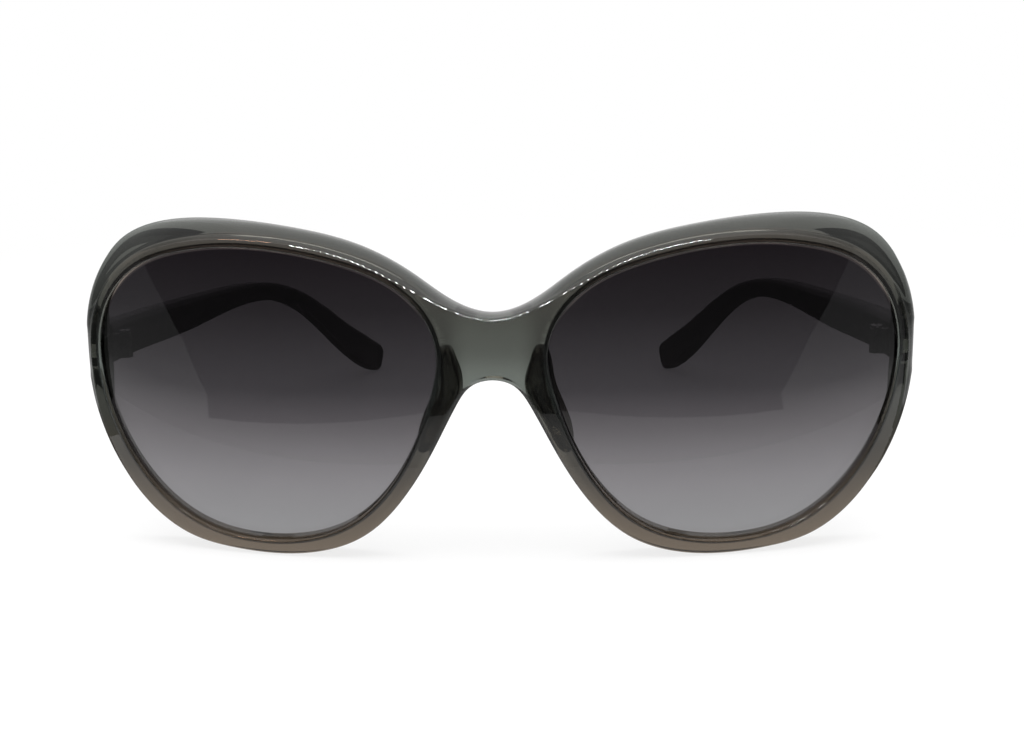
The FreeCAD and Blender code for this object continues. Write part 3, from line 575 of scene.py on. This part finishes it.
def pad_mesh(tree, sign, material):
    """A fin behind the rim, splayed outwards, with rounded ends."""
    rows = []
    for share, reach, thick, inset in PAD_SHARES:
        z = PAD_FOOT + share * (PAD_TOP - PAD_FOOT)
        x = nose_edge(z) - inset * PAD_INSET
        rows.append((x, rim_y(x, z) - PAD_SEAT, z, PAD_SEAT + reach * PAD_REACH, thick * PAD_THICKNESS))
    line = SmoothLine(rows, 3)
    end, cap = line.run[-1], PAD_CAP
    turn = np.linspace(0, math.pi / 2, CAP_POINTS)
    run = np.concatenate((cap * (1 - np.sin(turn[::-1])), np.linspace(cap, end - cap, PAD_POINTS)[1:-1],
                          end - cap * (1 - np.sin(turn))))
    stations = line.at(run)
    past = np.clip(np.maximum(cap - run, run - end + cap) / cap, 0, 1)
    shrink = np.sqrt(1 - past ** 2)[:, None]
    out = unit(np.array([[PAD_SPLAY, 1.0, 0.0]]))
    side = np.cross(out, (0.0, 0.0, 1.0))
    centre = stations[:, :3] + out * stations[:, 3:4] / 2
    turned = np.array((sign, 1, 1))
    return grown(tree, centre * turned,
                 {"Around": PAD_AROUND, "Squareness": PAD_SQUARENESS, "Finish": material},
                 {"half_side": side * stations[:, 4:5] / 2 * shrink * turned,
                  "half_rise": out * stations[:, 3:4] / 2 * shrink * turned})


def lens_mesh(tree, sign, material):
    """A lens shell whose edge sits in the rim's groove."""
    opening = opening_line()
    run = np.linspace(0, opening.run[-1], LENS_POINTS)
    rim = opening.at(run) - square(opening.heading(run)) * LENS_BITE
    points = np.stack([rim[:, 0] * sign, np.zeros(len(rim)), rim[:, 1]], axis=-1)
    points[-1] = points[0]
    return grown(tree, points, {
        "Rings": LENS_RINGS, "Centre": (sign * LENS_X * MM, 0.0, LENS_Z * MM),
        "Ball": (sign * VERTEX_ACROSS * MM, (FRONT_Y + CURVE_RADIUS) * MM, VERTEX_HEIGHT * MM),
        "Radius": (CURVE_RADIUS - LENS_RECESS) * MM, "Thickness": LENS_THICKNESS * MM, "Finish": material})


def finished(mesh, name, material, body, nodes, crease=35):
    """Close the seams, turn the faces outwards, and hang the piece on its body."""
    skin = bmesh.new()
    skin.from_mesh(mesh)
    bmesh.ops.remove_doubles(skin, verts=skin.verts, dist=SEAM_DISTANCE)
    bmesh.ops.recalc_face_normals(skin, faces=skin.faces)
    for face in skin.faces:
        face.smooth = True
    for edge in skin.edges:
        edge.smooth = edge.calc_face_angle(0.0) < math.radians(crease)
    skin.to_mesh(mesh)
    skin.free()
    mesh.materials.clear()
    mesh.materials.append(material)
    piece = bpy.data.objects.new(name, mesh)
    bpy.context.scene.collection.objects.link(piece)
    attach(piece, body)
    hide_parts(*nodes)


# Finishes
def handling_group():
    """Faint wipe marks and a fine moulded unevenness, shared by every polished piece."""
    tree = bpy.data.node_groups.new("handling_marks", "ShaderNodeTree")
    for label, value in (("Wipe Size", 60.0), ("Grain Size", 900.0)):
        socket = tree.interface.new_socket(label, in_out="INPUT", socket_type="NodeSocketFloat")
        socket.default_value = value
    for label in ("Wipe", "Grain"):
        tree.interface.new_socket(label, in_out="OUTPUT", socket_type="NodeSocketFloat")
    given = node(tree, "NodeGroupInput").outputs
    where = node(tree, "ShaderNodeTexCoord").outputs["Object"]
    wipe = node(tree, "ShaderNodeTexNoise",
                {"Vector": where, "Scale": given["Wipe Size"], "Detail": 4.0, "Distortion": 0.8})
    grain = node(tree, "ShaderNodeTexNoise", {"Vector": where, "Scale": given["Grain Size"], "Detail": 2.0})
    node(tree, "NodeGroupOutput", {"Wipe": wipe.outputs[0], "Grain": grain.outputs[0]})
    return tree


def new_finish(name, **plain):
    material = bpy.data.materials.new(name)
    material.use_nodes = True
    tree = material.node_tree
    shader = next(n for n in tree.nodes if n.type == "BSDF_PRINCIPLED")
    for label, value in plain.items():
        shader.inputs[label.replace("_", " ")].default_value = value
    return material, tree, shader


def marks_on(tree, shader, marks, smoothest, roughest, wipe_size, grain_size, grain_depth):
    """Lead the shared marks into a finish's roughness and a slight bump; hands back the wipe marks."""
    held = node(tree, "ShaderNodeGroup", node_tree=marks)
    held.inputs["Wipe Size"].default_value = wipe_size
    held.inputs["Grain Size"].default_value = grain_size
    faint, strong = 0.35, 0.7
    rough = node(tree, "ShaderNodeMapRange", {
        "Value": held.outputs["Wipe"], "From Min": faint, "From Max": strong,
        "To Min": smoothest, "To Max": roughest})
    tree.links.new(rough.outputs[0], shader.inputs["Roughness"])
    bump = node(tree, "ShaderNodeBump",
                {"Height": held.outputs["Grain"], "Strength": 1.0, "Distance": grain_depth})
    tree.links.new(bump.outputs[0], shader.inputs["Normal"])
    return held.outputs["Wipe"]


def axis_share(tree, axis, low, high, **settings):
    """Share of the way along one axis of a piece, from 0 at low to 1 at high; X counts both ways."""
    where = node(tree, "ShaderNodeTexCoord").outputs["Object"]
    place = node(tree, "ShaderNodeSeparateXYZ", {0: where}).outputs[axis]
    place = calc(tree, "ABSOLUTE", place) if axis == "X" else place
    return node(tree, "ShaderNodeMapRange", {"Value": place, "From Min": low * MM, "From Max": high * MM},
                **settings).outputs[0]


def colour_ramp(tree, value, stops):
    made = node(tree, "ShaderNodeValToRGB", {0: value})
    while len(made.color_ramp.elements) < len(stops):
        made.color_ramp.elements.new(0.5)
    for element, (place, colour) in zip(made.color_ramp.elements, stops):
        element.position = place
        element.color = (*colour, 1.0)
    return made.outputs[0]


def height_colours(tree, stops, low, high, wipe, streak):
    """Colour that changes with height over the piece, with a little of the wipe marks in it."""
    uneven = calc(tree, "MULTIPLY", calc(tree, "SUBTRACT", wipe, 0.5), streak)
    return colour_ramp(tree, calc(tree, "ADD", axis_share(tree, "Z", low, high), uneven), stops)


def mixed(tree, share, first, second):
    first_colour, second_colour, result = 6, 7, 2
    return node(tree, "ShaderNodeMix", {"Factor": share, first_colour: first, second_colour: second},
                data_type="RGBA").outputs[result]


def crystal_front(marks):
    """Clear plastic, dyed through: darker where it is deep, paler at the thin edge, browner at the foot; the
    colours also carry painted shade and light on the outer wall and a painted reflection at the bridge's
    foot.
    """
    material, tree, shader = new_finish("crystal_grey_front", IOR=1.49, Transmission_Weight=1.0)
    wipe = marks_on(tree, shader, marks, smoothest=0.01, roughest=0.03, wipe_size=45.0,
                    grain_size=1400.0, grain_depth=1e-6)
    face, wall, brim = (
        height_colours(tree, stops, 0, FRONT_HEIGHT, wipe, streak=0.04)
        for stops in (FACE_DYE_AND_REFLECTION, WALL_DYE_AND_SHADE, BRIM_DYE))
    share = node(tree, "ShaderNodeAttribute", attribute_name="wall_share").outputs["Fac"]
    rims = mixed(tree, calc(tree, "SUBTRACT", share, 1.0), mixed(tree, share, face, wall), brim)
    bridge = height_colours(tree, BRIDGE_DYE_AND_REFLECTION, *BRIDGE_HEIGHTS, wipe, streak=0.1)
    outside = axis_share(tree, "X", *BRIDGE_REACH, interpolation_type="SMOOTHSTEP")
    tree.links.new(mixed(tree, outside, bridge, rims), shader.inputs["Base Color"])
    depth = node(tree, "ShaderNodeVolumeAbsorption", {"Color": (0.40, 0.35, 0.30, 1.0), "Density": 190.0})
    end = next(n for n in tree.nodes if n.type == "OUTPUT_MATERIAL")
    tree.links.new(depth.outputs[0], end.inputs["Volume"])
    return material


def smoke_lens(marks):
    """Tinted lens, dark at the top and paler below, with a ground edge that sits in the rim, painted near
    black as shade in the groove.
    """
    material, tree, shader = new_finish("smoke_gradient_lens", IOR=1.5, Transmission_Weight=1.0)
    wipe = marks_on(tree, shader, marks, smoothest=0.0, roughest=0.03, wipe_size=38.0,
                    grain_size=1000.0, grain_depth=1e-6)
    tint, edge_shade = (
        height_colours(tree, stops, *LENS_HEIGHTS, wipe, streak=0.02)
        for stops in (LENS_TINT, LENS_EDGE_SHADE))
    ring = node(tree, "ShaderNodeAttribute", attribute_name="ring_share").outputs["Fac"]
    start = node(tree, "ShaderNodeMapRange", {
        "Value": axis_share(tree, "Z", *GROUND_HEIGHTS),
        "To Min": GROUND_EDGE[0], "To Max": GROUND_EDGE[1]}).outputs[0]
    ground = node(tree, "ShaderNodeMapRange", {
        "Value": ring, "From Min": start, "From Max": calc(tree, "ADD", start, GROUND_SOFT)}).outputs[0]
    tree.links.new(mixed(tree, ground, tint, edge_shade), shader.inputs["Base Color"])
    return material


def dark_pad(marks):
    material, tree, shader = new_finish("dark_crystal_pad", IOR=1.49, Transmission_Weight=0.8)
    wipe = marks_on(tree, shader, marks, smoothest=0.05, roughest=0.12, wipe_size=80.0,
                    grain_size=500.0, grain_depth=5e-7)
    # Painted shade: the pad darker through its middle
    dye = height_colours(tree, PAD_DYE_AND_SHADE, PAD_FOOT, PAD_TOP, wipe, streak=0.3)
    tree.links.new(dye, shader.inputs["Base Color"])
    return material


def black_arm(marks):
    material, tree, shader = new_finish("black_polished_arm", IOR=1.49, Coat_Weight=0.3, Coat_Roughness=0.05)
    wipe = marks_on(tree, shader, marks, smoothest=0.12, roughest=0.22, wipe_size=50.0,
                    grain_size=700.0, grain_depth=6e-7)
    dye = height_colours(tree, ARM_DYE, *ARM_HEIGHTS, wipe, streak=0.5)
    tree.links.new(dye, shader.inputs["Base Color"])
    return material


def hinge_steel(marks, name, colour, smoothest, roughest):
    material, tree, shader = new_finish(name, Metallic=1.0)
    wipe = marks_on(tree, shader, marks, smoothest, roughest, wipe_size=700.0, grain_size=4000.0,
                    grain_depth=5e-6)
    # Painted shade: the metal darker towards the bottom, full colour at the top
    stops = ((0.0, tuple(HINGE_SHADE * c for c in colour)), (1.0, colour))
    sheen = height_colours(tree, stops, *HINGE_HEIGHTS, wipe, streak=0.8)
    tree.links.new(sheen, shader.inputs["Base Color"])
    return material


# Stage
def seen_directly(tree):
    """1 for the camera and for what mirrors and glass show, 0 for light that falls on the object."""
    path = node(tree, "ShaderNodeLightPath").outputs
    return calc(tree, "MAXIMUM", path["Is Camera Ray"],
                calc(tree, "MAXIMUM", path["Is Glossy Ray"], path["Is Transmission Ray"]))


def stage_floor():
    """A pale floor that is white to the eye and keeps a soft shadow near the object."""
    bpy.ops.mesh.primitive_plane_add(size=14.0)
    floor = bpy.context.active_object
    floor.name = "table"
    material = bpy.data.materials.new("pale_table")
    material.use_nodes = True
    tree = material.node_tree
    tree.nodes.clear()
    lit = node(tree, "ShaderNodeBsdfDiffuse", {"Color": (0.88, 0.88, 0.88, 1.0)})
    white = node(tree, "ShaderNodeEmission", {"Color": (1.0, 1.0, 1.0, 1.0), "Strength": 1.0})
    where = node(tree, "ShaderNodeTexCoord").outputs["Object"]
    away = node(tree, "ShaderNodeVectorMath", {0: where}, operation="LENGTH").outputs["Value"]
    share = node(tree, "ShaderNodeMapRange", {
        "Value": away, "From Min": 0.10, "From Max": 0.30, "To Min": 0.8, "To Max": 1.0})
    whiteness = calc(tree, "MULTIPLY", seen_directly(tree), share.outputs[0])
    blend = node(tree, "ShaderNodeMixShader", {0: whiteness, 1: lit.outputs[0], 2: white.outputs[0]})
    node(tree, "ShaderNodeOutputMaterial", {"Surface": blend.outputs[0]})
    floor.data.materials.append(material)


def stage_world():
    """Soft light from all round, white where it is seen."""
    world = bpy.data.worlds.new("studio")
    bpy.context.scene.world = world
    world.use_nodes = True
    tree = world.node_tree
    tree.nodes.clear()
    soft, white = (node(tree, "ShaderNodeBackground", {"Color": (1.0, 1.0, 1.0, 1.0), "Strength": strength})
                   for strength in (0.55, 1.0))
    blend = node(tree, "ShaderNodeMixShader",
                 {0: seen_directly(tree), 1: soft.outputs[0], 2: white.outputs[0]})
    node(tree, "ShaderNodeOutputWorld", {"Surface": blend.outputs[0]})


def stage_light():
    """One broad panel overhead."""
    place, target = Vector((0.0, -0.15, 0.75)), Vector((0.0, -0.02, 0.0))
    light = bpy.data.lights.new("overhead_panel", "AREA")
    light.shape, light.size, light.size_y, light.energy = "RECTANGLE", 0.9, 0.6, 9.0
    panel = bpy.data.objects.new("overhead_panel", light)
    panel.location = place
    panel.rotation_mode = "QUATERNION"
    panel.rotation_quaternion = (target - place).to_track_quat("-Z", "Y")
    panel.visible_glossy = False
    bpy.context.scene.collection.objects.link(panel)


def glow(name, colour, strength):
    material = bpy.data.materials.new(name)
    material.use_nodes = True
    tree = material.node_tree
    tree.nodes.clear()
    light = node(tree, "ShaderNodeEmission", {"Color": (*colour, 1.0), "Strength": strength})
    node(tree, "ShaderNodeOutputMaterial", {"Surface": light.outputs[0]})
    return material


def graded_glow(name, axis, low, high, *stops):
    """Light of a stage sheet that changes along one axis."""
    material = glow(name, (1.0, 1.0, 1.0), 1.0)
    tree = material.node_tree
    light = next(n for n in tree.nodes if n.type == "EMISSION")
    tree.links.new(colour_ramp(tree, axis_share(tree, axis, low, high), stops), light.inputs["Color"])
    return material


def reflected_only(name, material, corners, faces=((0, 1, 2, 3),)):
    """A stage sheet that only shows as a reflection in polished surfaces."""
    mesh = bpy.data.meshes.new(name)
    mesh.from_pydata((np.array(corners) * MM).tolist(), [], faces)
    mesh.materials.append(material)
    sheet = bpy.data.objects.new(name, mesh)
    bpy.context.scene.collection.objects.link(sheet)
    sheet.visible_camera = sheet.visible_diffuse = sheet.visible_shadow = False
    sheet.visible_transmission = False


def oblong(left, right, near, far, z):
    return [(left, near, z), (right, near, z), (right, far, z), (left, far, z)]


def stage_tent():
    """A grey tent before the object: its wall, the ground at its foot, and a dark opening that reaches
    a little way over the ground."""
    fold_y, lean, wide, high, behind = -143.0, 0.025, 900, 200, 3

    def fold(x):
        return fold_y - lean * x

    reflected_only(
        "tent_wall", graded_glow("grey_tent", "Z", 0, 60, (0.0, (0.42, 0.42, 0.42)),
                                 (0.3, (0.31, 0.31, 0.31)), (1.0, (0.24, 0.24, 0.25))),
        [(x, fold(x) - behind, z) for x, z in ((-wide, -1), (wide, -1), (wide, high), (-wide, high))])
    reflected_only(
        "tent_ground", graded_glow("grey_ground", "Y", fold_y, -100, (0.0, (0.42, 0.42, 0.42)),
                                   (1.0, (0.9, 0.9, 0.9))),
        oblong(-wide, wide, -190, -95, 0.2))
    dark = glow("dark_room", (1.0, 0.97, 1.0), 0.07)
    edge = [(-121, 0), (-137, 28), (-159, 50), (-191, 76), (-229, 110),
            (210, 110), (177, 76), (150, 50), (128, 28), (109, 0)]
    reflected_only("tent_opening", dark, [(x, fold(x), z) for x, z in edge], [tuple(range(len(edge)))])
    corners = [(-121, fold(-121)), (0, fold(0)), (-96.5, -112), (109, fold(109)), (94, -122)]
    reflected_only("opening_foot", dark, [(x, y, 0.5) for x, y in corners], [(0, 1, 2), (1, 3, 4)])


def stage_lamps():
    """A row of small lamps above the front, and a warm one beside it, for the glints along the brows."""
    count, spacing, middle, z, half_width, half_depth = 23, 5.0, -107, 141, 0.9, 6
    corners = []
    for i in range(count):
        x = (i - (count - 1) / 2) * spacing
        corners += oblong(x - half_width, x + half_width, middle - half_depth, middle + half_depth, z)
    reflected_only("lamp_row", glow("small_lamps", (1.0, 1.0, 1.0), 150.0), corners,
                   [tuple(range(4 * i, 4 * i + 4)) for i in range(count)])
    reflected_only("warm_strip", glow("warm_light", (1.0, 0.60, 0.42), 20.0),
                   oblong(-112, -68, -110, -104, z))


def stage_flags():
    """Grey flags at the sides, paler upwards and towards the back, and a dark card under the arms."""
    across, near, far, waist, top = 112.0, -75, 60, 45, 240
    low = graded_glow("flag_foot", "Y", near, 20, (0.0, (0.12, 0.13, 0.12)), (0.4, (0.13, 0.14, 0.13)),
                      (1.0, (0.40, 0.40, 0.40)))
    high = graded_glow("flag_head", "Z", waist, top, (0.0, (0.15, 0.16, 0.15)), (0.26, (0.64, 0.66, 0.64)),
                       (1.0, (0.9, 0.9, 0.9)))
    for side, sign in SIDES:
        for label, finish, foot, head in (("_flag_foot", low, 0, waist), ("_flag_head", high, waist, top)):
            reflected_only(side + label, finish, [
                (sign * across, y, z) for y, z in ((near, foot), (far, foot), (far, head), (near, head))])
    reflected_only("dark_card", glow("card", (1.0, 0.98, 0.9), 0.07), oblong(-330, 330, -56, 220, 0.3))


def stage_camera():
    """The photograph's view: from a little above, almost square on, rolled by about a degree."""
    tilt, swing, roll = math.radians(15.0), math.radians(2.469), math.radians(-0.967)
    target, distance = Vector((3.186, -62.0, 34.37)), 260.0
    back = Vector((math.sin(swing) * math.cos(tilt), -math.cos(swing) * math.cos(tilt), math.sin(tilt)))
    level = (-back).cross(Vector((0, 0, 1))).normalized()
    upright = level.cross(-back)
    right = math.cos(roll) * level + math.sin(roll) * upright
    up = math.cos(roll) * upright - math.sin(roll) * level
    data = bpy.data.cameras.new("photo_view")
    data.sensor_width, data.lens, data.clip_start = 36.0, 53.90, 0.01
    camera = bpy.data.objects.new("photo_view", data)
    turn = Matrix((right, up, back)).transposed().to_4x4()
    camera.matrix_world = Matrix.Translation((target + back * distance) * MM) @ turn
    bpy.context.scene.collection.objects.link(camera)
    bpy.context.scene.camera = camera


# Assembly
marks = handling_group()
front_finish, lens_finish, pad_finish, arm_finish = (
    crystal_front(marks), smoke_lens(marks), dark_pad(marks), black_arm(marks))
swept, shell = swept_tree(), lens_tree()
finished(front_mesh(), "crystal_front", front_finish, "front", ["front_frame"])
for side, sign in SIDES:
    finished(lens_mesh(shell, sign, lens_finish), side + "_smoke_lens", lens_finish, "front",
             [side + "_lens"])
    finished(pad_mesh(swept, sign, pad_finish), side + "_pad_fin", pad_finish, "front",
             [side + "_nose_pad"])
    finished(arm_mesh(swept, sign, arm_finish), side + "_black_arm", arm_finish,
             side + "_arm", [side + "_temple"], crease=50)

# The hinge metal and the core wires keep the solids' own meshes
leaf_steel = hinge_steel(marks, "tumbled_hinge_steel", (0.62, 0.62, 0.60), 0.22, 0.38)
metal = {
    "front_leaf": leaf_steel,
    "hinge_screw": hinge_steel(marks, "bright_screw_steel", (0.78, 0.78, 0.77), 0.12, 0.22),
    "temple_core": hinge_steel(marks, "drawn_core_wire", (0.58, 0.58, 0.56), 0.25, 0.4),
    "temple_leaf": leaf_steel,
}
for side, _ in SIDES:
    for label, finish in metal.items():
        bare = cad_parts[side + "_" + label]
        bare.data.materials.clear()
        bare.data.materials.append(finish)

stage_floor()
stage_world()
stage_tent()
stage_lamps()
stage_flags()
stage_light()
stage_camera()
bpy.context.scene.view_settings.view_transform = "Standard"
